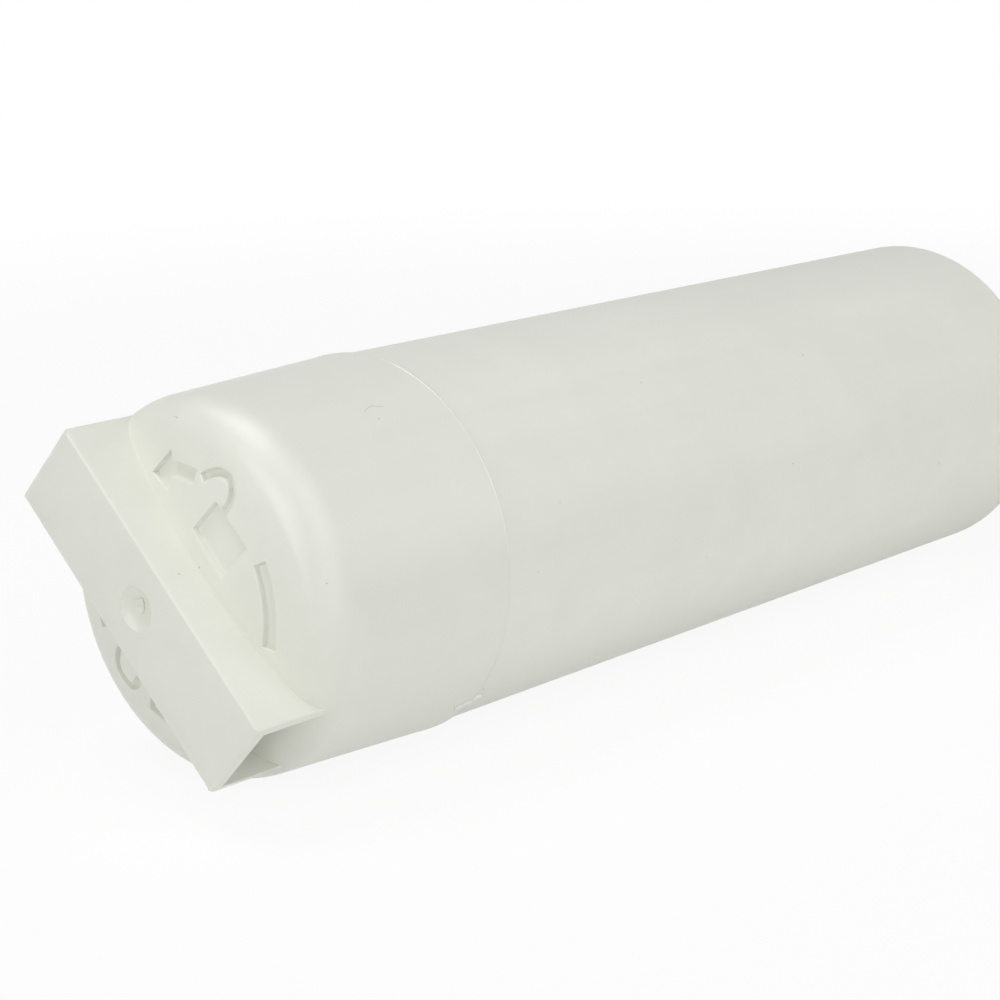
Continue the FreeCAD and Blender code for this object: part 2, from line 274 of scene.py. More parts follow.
def ribbon(path, width):
    """Outline of a band of one width along a path."""
    left = []
    right = []
    for i, point in enumerate(path):
        along = (path[min(i + 1, len(path) - 1)] - path[max(i - 1, 0)]).normalized()
        across = Vector((-along.y, along.x)) * width / 2
        left.append(tuple(point + across))
        right.append(tuple(point - across))
    return left, right


def mirrored(outline):
    """The same outline on the other side of the bar."""
    return [(-u, v) for u, v in reversed(outline)]


print("an arc of 38 degrees has %d points" % len(arc(1.0, -60, -22)))

# %% Sign outlines
ARC_IN = 16.45
ARC_OUT = 18.4
FAR_STEP = 1.1
BAND = 1.2
LOCK_EDGE = 15.9
BOW_MIDDLE = 5.0

tail = arc(ARC_OUT, -60, -22) + arc(ARC_IN, -22, -60)
far_tail = arc(ARC_OUT + FAR_STEP, -60, -18) + arc(ARC_IN + FAR_STEP, -18, -60)
arrow = arc(ARC_IN, 46, 30.5) + arc(ARC_OUT, 30.5, 46) + [(13.4, 14.65), (8.8, 14.65), (9.9, 10.6)]
far_arrow = arc(ARC_IN + FAR_STEP, 46, 23) + arc(ARC_OUT + FAR_STEP, 23, 46)
far_arrow += [(14.2, 15.4), (9.1, 15.3), (10.4, 11.2)]
open_path = smooth_path([(15.2, 2.15), (17.2, 2.25), (18.95, 3.25), (19.55, 4.85), (18.95, 6.35), (17.4, 7.5),
                         (16.0, 7.95)])
open_left, open_right = [
    [p for p in side if p[0] > LOCK_EDGE + 0.05 or p[1] > BOW_MIDDLE] for side in ribbon(open_path, BAND)]
open_lock = [(LOCK_EDGE, 4.0), (10.4, 4.0), (9.9, -3.85), (LOCK_EDGE, -3.85)] + open_right + open_left[::-1]
closed_body = [(-9.4, 4.25), (-LOCK_EDGE, 4.25), (-LOCK_EDGE, -3.7), (-9.4, -3.7)]
closed_path = smooth_path([(-16.5, 2.9), (-18.0, 2.85), (-19.4, 2.1), (-20.0, 0.3), (-19.4, -1.5), (-18.0, -2.25),
                           (-16.5, -2.3)])
closed_left, closed_right = ribbon(closed_path, BAND)
closed_bow = closed_left + closed_right[::-1]
signs = [tail, arrow, open_lock, mirrored(far_tail), mirrored(far_arrow), closed_body, closed_bow]


def area(outline):
    """Signed area of an outline, positive when it runs anticlockwise."""
    pairs = zip(outline, outline[1:] + outline[:1])
    return sum(a[0] * b[1] - b[0] * a[1] for a, b in pairs) / 2


def divided(outline, longest=1.2):
    """The outline, anticlockwise, with no side longer than a given length."""
    if area(outline) < 0:
        outline = outline[::-1]
    points = []
    for a, b in zip(outline, outline[1:] + outline[:1]):
        count = max(1, math.ceil(math.dist(a, b) / longest))
        points.extend([(a[0] + (b[0] - a[0]) * k / count, a[1] + (b[1] - a[1]) * k / count) for k in range(count)])
    return points


signs = [divided(outline) for outline in signs]
print("sign outlines:", [len(outline) for outline in signs])

# %% [markdown]
# ## From outline to recess
# A moulded recess has a soft lip, a wall with a little draft and a rounded floor corner. We get all three from one
# outline by growing or shrinking it a little at each depth. The dome between the signs and the floors inside them
# are filled with a Delaunay triangulation, with extra points so that the dome stays round.

# %% Helpers for filling outlines
FILL = 1.0
ROW_STEP = FILL * 0.87
MITRE_LIMIT = 0.35


def grown(outline, amount):
    """The outline moved outwards by an amount along its corner directions."""
    moved = []
    count = len(outline)
    for i, point in enumerate(outline):
        here = Vector(point)
        before = (here - Vector(outline[i - 1])).normalized()
        after = (Vector(outline[(i + 1) % count]) - here).normalized()
        normal = Vector((before.y, -before.x)) + Vector((after.y, -after.x))
        scale = max(normal.length_squared / 2, MITRE_LIMIT)
        moved.append(tuple(here + normal * (amount / scale)))
    return moved


def inside(point, outline):
    """True if a point is inside an outline."""
    hit = False
    for a, b in zip(outline, outline[1:] + outline[:1]):
        if (a[1] > point[1]) != (b[1] > point[1]):
            if point[0] < a[0] + (b[0] - a[0]) * (point[1] - a[1]) / (b[1] - a[1]):
                hit = not hit
    return hit


def clear_of(point, outline, distance):
    """True if no corner of an outline is near a point."""
    return all(math.dist(point, corner) > distance for corner in outline)


def fill_points(reach):
    """Staggered points over a square."""
    points = []
    for row in range(int(2 * reach / ROW_STEP) + 1):
        v = -reach + row * ROW_STEP
        u = -reach + FILL * 0.5 * (row % 2)
        while u < reach:
            points.append((u, v))
            u += FILL
    return points


def fill(cap, loops, extra, numbers, wanted):
    """Adds the triangles over loops and extra points whose middle is wanted, by the numbers of their points."""
    points = [p for loop in loops for p in loop] + extra
    edges = []
    first = 0
    for loop in loops:
        edges.extend([(first + i, first + (i + 1) % len(loop)) for i in range(len(loop))])
        first += len(loop)
    _, _, faces, origin, _, _ = geometry.delaunay_2d_cdt([Vector(p) for p in points], edges, [], 0, 1e-6, True)
    for face in faces:
        corners = [origin[i][0] for i in face]
        if wanted(tuple(sum(points[i][k] for i in corners) / 3 for k in range(2))):
            cap.faces.append(tuple(numbers[i] for i in corners))


print("the dome takes about %d filling points" % len(fill_points(dome_end_r)))

# %% Recess builder
RECESS_STEPS = [(0.20, 0.0), (0.10, 0.02), (0.03, 0.09), (0.0, 0.2), (-0.05, 0.66), (-0.10, 0.78), (-0.19, 0.84)]
EDGE_RINGS = 5
RIM_CLEAR = 0.5
LIP_CLEAR = 0.4
FLOOR_CLEAR = 0.45


def on_dome(places, depth=0.0):
    """Points of the face set on the dome or a depth below it."""
    return [on_cap(u, v, cap_height(math.hypot(u, v)) - depth) for u, v in places]


def dome_with_signs(cap, rim_ring):
    """Fills the dome inside a ring of the cap, with every sign sunk into it."""
    lips = [grown(outline, RECESS_STEPS[0][0]) for outline in signs]
    rim = circle(FACE_R)
    wanted = [p for p in fill_points(dome_end_r) if math.hypot(*p) < dome_end_r - RIM_CLEAR]
    for k in range(EDGE_RINGS):
        wanted += circle(dome_end_r + (FACE_R - dome_end_r) * k / EDGE_RINGS)
    extra = []
    for point in wanted:
        if all(not inside(point, lip) and clear_of(point, lip, LIP_CLEAR) for lip in lips):
            extra.append(point)
    numbers = list(rim_ring)
    lip_rings = []
    for lip in lips:
        ring = cap.ring(on_dome(lip))
        lip_rings.append(ring)
        numbers += ring
    numbers += cap.ring(on_dome(extra))
    fill(cap, [rim] + lips, extra, numbers, lambda middle: not any(inside(middle, lip) for lip in lips))
    for outline, ring in zip(signs, lip_rings):
        sink(cap, outline, ring)


def sink(cap, outline, ring):
    """Wall and floor of one recess, down from the ring of its lip."""
    for growth, depth in RECESS_STEPS[1:]:
        loop = grown(outline, growth)
        lower = cap.ring(on_dome(loop, depth))
        cap.band(ring, lower)
        ring = lower
    reach = max(math.hypot(*p) for p in loop) + 1
    extra = [p for p in fill_points(reach) if inside(p, loop) and clear_of(p, loop, FLOOR_CLEAR)]
    numbers = ring + cap.ring(on_dome(extra, depth))
    fill(cap, [loop], extra, numbers, lambda middle: inside(middle, loop))


print("recesses are %.2f mm deep in %d steps" % (RECESS_STEPS[-1][1], len(RECESS_STEPS)))

# %% [markdown]
# ## The cap's shell
# The cup is turned ring by ring: rim, tapering side and rounded edge, then the dome with its signs, and inside
# the weld lap, the plain bore and the ring that presses on the filter block. One closed skin like this can be
# joined with the bar in one step.

# %% Cap shell
LAP_R = 25.9
LAP_DEPTH = 6.4
BORE_R = 23.78
RING_R = 12.0
RING_BORE_R = 10.0
RING_FOOT = 27.9
FACE_INNER = CROWN - FACE_WALL
DOME_DROP = 4.23
SIDE_STEPS = 10
EDGE_STEPS = 16

shell = Moulding()
outline = [(0.0, RIM_R - RIM_CHAMFER), (0.08, RIM_R - 0.1), (RIM_CHAMFER, RIM_R - CAP_SLOPE * RIM_CHAMFER)]
outline.append((RIM_FLAT, RIM_R - CAP_SLOPE * RIM_FLAT))
side_end = edge_out + EDGE_ROUND * math.sin(side_angle)
outline += [(out, RIM_R - CAP_SLOPE * out) for out in evenly(0, side_end, SIDE_STEPS)[1:-1]]
for angle in evenly(side_angle, face_angle, EDGE_STEPS):
    outline.append((edge_out + EDGE_ROUND * math.sin(angle), edge_r + EDGE_ROUND * math.cos(angle)))
rings = [shell.ring(cap_ring(out, r)) for out, r in outline]
shell.skin(rings)
dome_with_signs(shell, rings[-1])
inner = [(0.0, LAP_R), (LAP_DEPTH, LAP_R), (LAP_DEPTH, BORE_R), (FACE_INNER - DOME_DROP, BORE_R)]
inner += [(FACE_INNER, RING_R), (RING_FOOT, RING_R), (RING_FOOT, RING_BORE_R), (FACE_INNER, RING_BORE_R)]
inner_rings = [shell.ring(cap_ring(out, r)) for out, r in inner]
shell.skin([rings[0]] + inner_rings)
shell.fan(inner_rings[-1], on_cap(0, 0, FACE_INNER))
cap = shell.make("handle_cap_moulding")
tell("cap shell", cap)

# %% [markdown]
# ## The grip bar
# The bar is hollow: a front plate on two side walls, open at both ends so that the tool slides out sideways. The
# walls stand on the dome and run down onto its rounded edge, so their feet follow the dome a little below its skin.
# The edges at the open ends are rounder than the long ones, so each kind gets its own bevel. The dimple of the
# injection point is cut into the plate, with a torn stub left in it.

# %% Hollow bar
BAR_HALF_LONG = 25.15
BAR_HALF_WIDE = 7.25
BAR_WALL = 1.1
BAR_PLATE = 1.5
FOOT_DEPTH = 1.1
STATIONS = 48

wall_in = BAR_HALF_WIDE - BAR_WALL
under = BAR_FRONT - BAR_PLATE
bar = Moulding()
bar_rows = []
for v in evenly(-BAR_HALF_LONG, BAR_HALF_LONG, STATIONS):
    foot_out = cap_height(math.hypot(BAR_HALF_WIDE, v)) - FOOT_DEPTH
    foot_in = cap_height(math.hypot(wall_in, v)) - FOOT_DEPTH
    section = [(-BAR_HALF_WIDE, foot_out), (-BAR_HALF_WIDE, BAR_FRONT), (BAR_HALF_WIDE, BAR_FRONT)]
    section += [(BAR_HALF_WIDE, foot_out), (wall_in, foot_in), (wall_in, under), (-wall_in, under)]
    section.append((-wall_in, foot_in))
    bar_rows.append(bar.ring([on_cap(u, v, out) for u, out in section]))
bar.skin(bar_rows)
for row in (bar_rows[0], bar_rows[-1]):
    for corners in ((0, 1, 6, 7), (1, 2, 5, 6), (2, 3, 4, 5)):
        bar.faces.append(tuple(row[i] for i in corners))
grip = bar.make("grip_bar")
tell("bar with sharp edges", grip)

# %% Rounded edges of the bar
BAR_ROUND = 0.4
BAR_END_ROUND = 0.8
NEAR = 0.01
LEAST_TURN = 0.3


def bar_place(point):
    """Where a point of the bar is: across it, along it and out from the seam, in millimetres."""
    across = -point.y * math.cos(BAR_TURN) + point.z * math.sin(BAR_TURN)
    along = point.y * math.sin(BAR_TURN) + point.z * math.cos(BAR_TURN)
    return across / MM, along / MM, SEAM_X - point.x / MM


def end_edge(edge):
    """True for the two edges between the bar's front and its open ends."""
    places = [bar_place(corner.co) for corner in edge.verts]
    return all(abs(along) > BAR_HALF_LONG - NEAR and out > BAR_FRONT - NEAR for _, along, out in places)


def side_edge(edge):
    """True for the edges where a side wall turns into the front or an end, above the dome."""
    places = [bar_place(corner.co) for corner in edge.verts]
    turns = edge.is_manifold and edge.calc_face_angle() > LEAST_TURN
    outside = all(abs(across) > BAR_HALF_WIDE - NEAR for across, _, _ in places)
    above = max(out - cap_height(math.hypot(across, along)) for across, along, out in places) > 0.0
    return turns and outside and above


work = bmesh.new()
work.from_mesh(grip.data)
for wanted, radius, segments in ((end_edge, BAR_END_ROUND, 6), (side_edge, BAR_ROUND, 4)):
    edges = [edge for edge in work.edges if wanted(edge)]
    bmesh.ops.bevel(work, geom=edges, offset=radius * MM, segments=segments, profile=0.5, affect="EDGES")
work.to_mesh(grip.data)
work.free()
tidy_normals(grip.data, CRISP)
tell("bar with rounded edges", grip)

# %% Dimple and stub
DIMPLE_R = 3.1
DIMPLE_DEPTH = 0.9
DIMPLE_POWER = 5
DIMPLE_STEPS = 72
BOWL_STEP = 0.1
STUB_R = 1.0
STUB_HEIGHT = 0.35
STUB_U, STUB_V = 0.15, 0.3
STUB_STEPS = 48


def turned_solid(name, outline, steps):
    """Closed solid turned about the cap's axis from (out, radius) points whose ends are on the axis."""
    solid = Moulding()
    rows = [cap_ring(out, r, steps) for out, r in outline[1:-1]]
    solid.pod(rows, on_cap(0, 0, outline[0][0]), on_cap(0, 0, outline[-1][0]))
    return solid.make(name)


def ragged_ring(u, v, out, radii):
    """Ring round a place on the cap's face, with its own radius at each step."""
    return [on_cap(u + r * math.cos(t), v + r * math.sin(t), out) for t, r in zip(steps_round(len(radii)), radii)]


bowl = []
for k in range(13):
    share = BOWL_STEP * k
    bowl.append((BAR_FRONT - DIMPLE_DEPTH * (1 - share ** DIMPLE_POWER), DIMPLE_R * share))
bowl.append((bowl[-1][0], 0.0))
joined(grip, turned_solid("dimple", bowl, DIMPLE_STEPS), "DIFFERENCE")
floor_out = BAR_FRONT - DIMPLE_DEPTH
stub_outline = [(-0.5, 1.0)]
stub_outline += [(STUB_HEIGHT * lift, share) for lift, share in ((0.6, 1.0), (1.0, 0.86), (0.9, 0.5), (0.2, 0.22))]
torn = random.Random(5)
ragged = [1 + 0.10 * math.sin(3 * k * math.pi / 24 + 1) + 0.05 * torn.random() for k in range(STUB_STEPS)]
stub = Moulding()
stub_rows = []
for lift, share in stub_outline:
    radii = [STUB_R * share * (reach if lift > 0 else 1.0) for reach in ragged]
    stub_rows.append(ragged_ring(STUB_U, STUB_V, floor_out + lift, radii))
stub.pod(stub_rows, *[on_cap(STUB_U, STUB_V, floor_out + stub_outline[end][0]) for end in (0, -1)])
joined(grip, stub.make("stub"), "UNION")
joined(cap, grip, "UNION")
tell("cap with bar", cap)

# %% [markdown]
# ## Turning a piece with Geometry Nodes
# The tube, its neck and the rubber rings are all turned shapes: one outline swung round the long axis. A Spin in
# mesh code would do, but a node tree keeps the rule in one place: a grid gets one row for each point of the
# outline and one column for each step round, and every grid point is moved to its own place on the turn.


# %% Helpers for node trees
def added(tree, family, *kinds):
    """New nodes of one family, in the order of their kinds."""
    return [tree.nodes.new(family + kind) for kind in kinds]


def wire(tree, *feeds):
    """Feeds inputs: an output or a plain value, the node that takes it, and its input's name or number."""
    for value, node, label in feeds:
        if isinstance(value, bpy.types.NodeSocket):
            tree.links.new(value, node.inputs[label])
        else:
            node.inputs[label].default_value = value


def new_tree(name, inputs, outputs=(("Result", "Geometry"),), kind="GeometryNodeTree"):
    """A node tree with its named sockets, its given values and its end node."""
    tree = bpy.data.node_groups.new(name, kind)
    for in_out, sockets in (("INPUT", inputs), ("OUTPUT", outputs)):
        for label, value in sockets:
            tree.interface.new_socket(label, in_out=in_out, socket_type="NodeSocket" + value)
    return tree, tree.nodes.new("NodeGroupInput").outputs, tree.nodes.new("NodeGroupOutput")


def sum_node(tree, operation, *values):
    """Socket of a Math node for sockets or numbers."""
    node = tree.nodes.new("ShaderNodeMath")
    node.operation = operation
    wire(tree, *[(value, node, i) for i, value in enumerate(values)])
    return node.outputs[0]


def times(tree, first, second):
    """Socket for the product of two sockets or numbers."""
    return sum_node(tree, "MULTIPLY", first, second)


def finished(tree, geometry_socket, finish_socket, end):
    """Ends a tree in Realize Instances and Set Material."""
    realize, cover = added(tree, "GeometryNode", "RealizeInstances", "SetMaterial")
    wire(tree, (geometry_socket, realize, "Geometry"), (realize.outputs["Geometry"], cover, "Geometry"),
         (finish_socket, cover, "Material"), (cover.outputs["Geometry"], end, 0))


def run_tree(piece, tree, values):
    """Runs a tree on an object with its named inputs and keeps the result as a plain mesh."""
    modifier = piece.modifiers.new(tree.name, "NODES")
    modifier.node_group = tree
    for item in tree.interface.items_tree:
        if item.item_type == "SOCKET" and item.in_out == "INPUT" and item.name in values:
            modifier[item.identifier] = values[item.name]
    piece.data = plain_mesh(piece)


print("tree helpers:", added.__name__, wire.__name__, new_tree.__name__, run_tree.__name__)


# %% Node tree for turned pieces
def on_turn(tree, radius, angle, place):
    """Feeds Y and Z of a Combine XYZ node with a radius at an angle."""
    for label, wave in (("Y", "SINE"), ("Z", "COSINE")):
        part = sum_node(tree, wave, angle)
        wire(tree, (times(tree, radius, part), place, label))


def turned_tree():
    sockets = [("Outline", "Geometry"), ("Steps round", "Int"), ("Finish", "Material")]
    tree, start, end = new_tree("turned piece", sockets)
    size, grid, index, place, sample, move, weld = added(
        tree, "GeometryNode", "AttributeDomainSize", "MeshGrid", "InputIndex", "InputPosition", "SampleIndex",
        "SetPosition", "MergeByDistance")
    split, swing = added(tree, "ShaderNode", "SeparateXYZ", "CombineXYZ")
    sample.data_type = "FLOAT_VECTOR"
    columns = sum_node(tree, "ADD", start["Steps round"], 1)
    row = sum_node(tree, "FLOOR", sum_node(tree, "DIVIDE", sum_node(tree, "ADD", index.outputs[0], 0.5), columns))
    column = sum_node(tree, "SUBTRACT", index.outputs[0], times(tree, row, columns))
    full_turn = times(tree, column, 2 * math.pi)
    angle = sum_node(tree, "DIVIDE", full_turn, start["Steps round"])
    wire(tree, (start["Outline"], size, 0), (size.outputs["Point Count"], grid, "Vertices X"),
         (columns, grid, "Vertices Y"), (start["Outline"], sample, "Geometry"),
         (place.outputs[0], sample, "Value"), (row, sample, "Index"),
         (sample.outputs["Value"], split, 0), (split.outputs["X"], swing, "X"))
    on_turn(tree, split.outputs["Z"], angle, swing)
    wire(tree, (grid.outputs["Mesh"], move, "Geometry"), (swing.outputs[0], move, "Position"),
         (move.outputs["Geometry"], weld, "Geometry"), (1e-6, weld, "Distance"))
    finished(tree, weld.outputs["Geometry"], start["Finish"], end)
    return tree


TURNED = turned_tree()


def turned_piece(name, outline, steps, finish, crisp_angle=CRISP):
    """A piece turned about the long axis from (x, radius) points, in millimetres."""
    mesh = bpy.data.meshes.new(name)
    mesh.from_pydata([(x * MM, 0, r * MM) for x, r in outline], [], [])
    piece = in_scene(name, mesh)
    run_tree(piece, TURNED, {"Steps round": steps, "Finish": finish})
    tidy_normals(piece.data, crisp_angle)
    return piece


print("turned pieces use the tree", TURNED.name)

# %% [markdown]
# ## Shared finishes
# Every plastic here has the same two effects: a moulded skin, which is a slow cloudiness with flow streaks and a fine
# satin grain, and handling marks, which are scuffs and specks of dust. Each is a node group, so that a change to the
# skin reaches all the materials. The groups only put out masks and heights; the shader stays in each material.


# %% Helpers for shader groups
def noise(tree, place, scale, detail, roughness):
    """Noise texture on a place socket; the scale is a number or a socket."""
    node = tree.nodes.new("ShaderNodeTexNoise")
    for label, value in (("Vector", place), ("Scale", scale), ("Detail", detail), ("Roughness", roughness)):
        wire(tree, (value, node, label))
    return node.outputs["Fac"]


def stretched(tree, place, scale):
    """A place socket stretched by three factors."""
    node = tree.nodes.new("ShaderNodeMapping")
    wire(tree, (place, node, "Vector"), (scale, node, "Scale"))
    return node.outputs["Vector"]


def range_node(tree, value, low, high, to_low=0.0, to_high=1.0):
    """Socket that maps a range of a value to another, smoothly and clamped."""
    node = tree.nodes.new("ShaderNodeMapRange")
    node.interpolation_type = "SMOOTHSTEP"
    labels = ("Value", "From Min", "From Max", "To Min", "To Max")
    wire(tree, *[(part, node, label) for label, part in zip(labels, (value, low, high, to_low, to_high))])
    return node.outputs["Result"]


def blended(tree, first, first_share, second, second_share):
    """Socket for a share of one value and a share of another."""
    parts = [times(tree, first, first_share), times(tree, second, second_share)]
    return sum_node(tree, "ADD", *parts)


print("shader helpers:", noise.__name__, stretched.__name__, range_node.__name__, blended.__name__)


# %% Node groups for skin and marks
def skin_group():
    group, start, end = new_tree(
        "moulded skin", [("Place", "Vector"), ("Cloud scale", "Float"), ("Grain scale", "Float")],
        [("Mottle", "Float"), ("Height", "Float")], "ShaderNodeTree")
    place = start["Place"]
    cloud = noise(group, place, start["Cloud scale"], 4.0, 0.6)
    streaks = noise(group, stretched(group, place, (9.0, 170.0, 170.0)), 1.0, 3.0, 0.5)
    grain = noise(group, place, start["Grain scale"], 2.0, 0.6)
    mottle = blended(group, cloud, 0.65, streaks, 0.35)
    height = blended(group, grain, 0.55, cloud, 0.45)
    wire(group, (range_node(group, mottle, 0.3, 0.7), end, "Mottle"), (height, end, "Height"))
    return group


def marks_group():
    group, start, end = new_tree(
        "handling marks", [("Place", "Vector"), ("Speck scale", "Float")],
        [("Scuff", "Float"), ("Specks", "Float")], "ShaderNodeTree")
    place = start["Place"]
    scuff = range_node(group, noise(group, stretched(group, place, (60.0, 260.0, 140.0)), 1.0, 5.0, 0.7), 0.6, 0.78)
    cells, tint = added(group, "ShaderNode", "TexVoronoi", "SeparateColor")
    wire(group, (place, cells, "Vector"), (start["Speck scale"], cells, "Scale"),
         (cells.outputs["Color"], tint, 0))
    near = range_node(group, cells.outputs["Distance"], 0.02, 0.07, 1.0, 0.0)
    few = sum_node(group, "GREATER_THAN", tint.outputs[0], 0.93)
    wire(group, (scuff, end, "Scuff"), (times(group, near, few), end, "Specks"))
    return group


SKIN = skin_group()
MARKS = marks_group()
print("finish groups:", SKIN.name, "and", MARKS.name)

# %% [markdown]
# ## The materials
# Housing and cap are the same off-white polypropylene, the cap a shade warmer. The rings are black rubber.
# Inside are pressed carbon, a white fleece, a blue-white netting, grey-white discs and amber hot melt. Two more are
# for plastic that turned white where it tore, and for dust. One function places the two groups with each
# material's own colours and strengths, which is shorter than ten trees built by hand.


# %% Finish builder
def mixed(tree, factor, first, second):
    """Colour socket between two colours or sockets."""
    node = tree.nodes.new("ShaderNodeMix")
    node.data_type = "RGBA"
    wire(tree, (factor, node, "Factor"), (first, node, 6), (second, node, 7))
    return node.outputs[2]


SPECK_SCALE = 330.0
SPECK_SHARE = 0.55
SCUFF_SHARE = 0.12
GRAIN_DEPTH = 0.0004
SOIL = (0.35, 0.33, 0.28, 1.0)


def finish(name, pale, deep, rough, cloud=55.0, grain=1800.0, bump=0.08):
    """A moulded or pressed finish from two tones, a roughness range and the scales and strength of its grain."""
    material = bpy.data.materials.new(name)
    material.use_nodes = True
    tree = material.node_tree
    shader = tree.nodes["Principled BSDF"]
    place = tree.nodes.new("ShaderNodeTexCoord").outputs["Object"]
    skin, marks, relief = added(tree, "ShaderNode", "Group", "Group", "Bump")
    skin.node_tree = SKIN
    marks.node_tree = MARKS
    tone = mixed(tree, skin.outputs["Mottle"], (*deep, 1.0), (*pale, 1.0))
    dirt = times(tree, marks.outputs["Specks"], SPECK_SHARE)
    worn = times(tree, marks.outputs["Scuff"], SCUFF_SHARE)
    satin = range_node(tree, skin.outputs["Mottle"], 0.0, 1.0, *rough)
    wire(tree, (place, skin, "Place"), (cloud, skin, "Cloud scale"),
         (grain, skin, "Grain scale"), (place, marks, "Place"),
         (SPECK_SCALE, marks, "Speck scale"), (bump, relief, "Strength"),
         (GRAIN_DEPTH, relief, "Distance"),
         (mixed(tree, dirt, tone, SOIL), shader, "Base Color"),
         (sum_node(tree, "ADD", satin, worn), shader, "Roughness"),
         (skin.outputs["Height"], relief, "Height"), (relief.outputs["Normal"], shader, "Normal"))
    return material


print("each finish places the groups %s and %s" % (SKIN.name, MARKS.name))

# %% Materials
FINISHES = {
    name: finish(name, *values)
    for name, *values in (
        ("housing_plastic", (0.857, 0.868, 0.798), (0.812, 0.823, 0.753), (0.42, 0.52)),
        ("cap_plastic", (0.830, 0.842, 0.768), (0.795, 0.807, 0.733), (0.31, 0.38), 55.0, 1800.0, 0.05),
        ("seal_rubber", (0.022, 0.022, 0.023), (0.014, 0.014, 0.015), (0.38, 0.55), 160.0, 5200.0, 0.12),
        ("pressed_carbon", (0.050, 0.050, 0.052), (0.016, 0.016, 0.017), (0.75, 0.92), 420.0, 2600.0, 0.9),
        ("filter_fleece", (0.80, 0.79, 0.75), (0.66, 0.65, 0.60), (0.82, 0.95), 300.0, 3400.0, 0.7),
        ("netting_plastic", (0.70, 0.75, 0.78), (0.62, 0.68, 0.72), (0.30, 0.42), 120.0, 2400.0, 0.1),
        ("disc_plastic", (0.66, 0.66, 0.63), (0.60, 0.60, 0.57), (0.40, 0.52)),
        ("hot_melt", (0.66, 0.52, 0.26), (0.56, 0.42, 0.19), (0.29, 0.38), 260.0, 1500.0, 0.3),
        ("whitened_plastic", (0.93, 0.94, 0.93), (0.88, 0.89, 0.88), (0.45, 0.6)),
        ("dust", (0.70, 0.68, 0.61), (0.62, 0.60, 0.53), (0.7, 0.85)),
    )
}
print("finishes:", sorted(FINISHES))

# %% Finishes of the CAD nodes
FINISHED_NODES = {
    "housing_plastic": ["housing"],
    "cap_plastic": ["handle_cap"],
    "seal_rubber": ["inlet_o_ring", "outlet_o_ring", "spigot_o_ring"],
    "pressed_carbon": ["carbon_block"],
    "filter_fleece": ["prefilter_wrap"],
    "netting_plastic": ["netting_sleeve"],
    "disc_plastic": ["outlet_end_disc", "closed_end_disc"],
    "hot_melt": ["outlet_glue_layer", "closed_glue_layer"],
}


def paint(piece, slot):
    """Gives an object one of the finishes."""
    if piece.material_slots:
        for place in piece.material_slots:
            place.material = FINISHES[slot]
    else:
        piece.data.materials.append(FINISHES[slot])


for slot, names in FINISHED_NODES.items():
    for name in names:
        paint(nodes[name], slot)
    print(slot, "on", ", ".join(names))

# %% [markdown]
# ## The housing
# Tube, closed end and neck are one moulding. Its outline goes round the outside, into the outlet, back through the
# socket and the neck, and along the inside of the tube. The turned tree above makes the body from it.

# %% Turned housing
TUBE_R = 27.5
TUBE_BORE_R = 24.5
TUBE_CHAMFER = 0.12
TONGUE_X = -157.5
INLET_GROOVE_R = 11.9
OUTLET_GROOVE_R = 5.5
END_X = -10.0
END_ROUND = 1.8
END_STEPS = 8

housing_line = [(TONGUE_X, TUBE_BORE_R), (TONGUE_X, LAP_R), (SEAM_X, LAP_R), (SEAM_X, TUBE_R - TUBE_CHAMFER)]
housing_line.append((SEAM_X + TUBE_CHAMFER, TUBE_R))
for turn in evenly(0, math.pi / 2, END_STEPS):
    housing_line.append((END_X - END_ROUND * (1 - math.sin(turn)), TUBE_R - END_ROUND * (1 - math.cos(turn))))
housing_line += [(END_X, 18.0), (-0.8, 18.0), (0.0, 17.2), (0.0, 16.5), (7.2, 16.5), (8.0, 15.7), (8.0, 14.0)]
housing_line += [(11.3, 14.0), (11.3, INLET_GROOVE_R), (14.7, INLET_GROOVE_R), (14.7, 14.0), (17.2, 14.0)]
housing_line += [(18.0, 13.2), (18.0, 7.0), (25.25, 7.0), (25.25, OUTLET_GROOVE_R), (27.75, OUTLET_GROOVE_R)]
housing_line += [(27.75, 7.0), (33.8, 7.0), (35.0, 5.8), (35.0, 3.5), (8.8, 3.5), (8.8, 5.6), (-13.2, 5.6)]
housing_line += [(-13.2, 7.5), (15.8, 7.5), (15.8, 9.9), (5.0, 9.9), (5.0, 13.5), (-13.2, 13.5)]
housing_line += [(-13.2, TUBE_BORE_R), (TONGUE_X, TUBE_BORE_R)]
housing = turned_piece("housing_moulding", housing_line, ROUND_STEPS, FINISHES["housing_plastic"])
tell("turned housing", housing)

# %% [markdown]
# ## Lugs, ports and ribs
# Two bayonet lugs, four inlet ports and four ribs repeat round the axis. Each is drawn once, a small node tree
# sets its copies round the axis, and the result is joined to the housing or cut out of it.


# %% Copies round the axis
def copies_tree():
    sockets = [("One", "Geometry"), ("Count", "Int"), ("First angle", "Float"), ("Finish", "Material")]
    tree, start, end = new_tree("copies round the axis", sockets)
    points, index, copy = added(tree, "GeometryNode", "Points", "InputIndex", "InstanceOnPoints")
    turn = tree.nodes.new("ShaderNodeCombineXYZ")
    step = sum_node(tree, "DIVIDE", 2 * math.pi, start["Count"])
    angle = sum_node(tree, "ADD", times(tree, index.outputs[0], step), start["First angle"])
    wire(tree, (start["Count"], points, "Count"), (angle, turn, "X"),
         (points.outputs[0], copy, "Points"), (start["One"], copy, "Instance"),
         (turn.outputs[0], copy, "Rotation"))
    finished(tree, copy.outputs["Instances"], start["Finish"], end)
    return tree


COPIES = copies_tree()


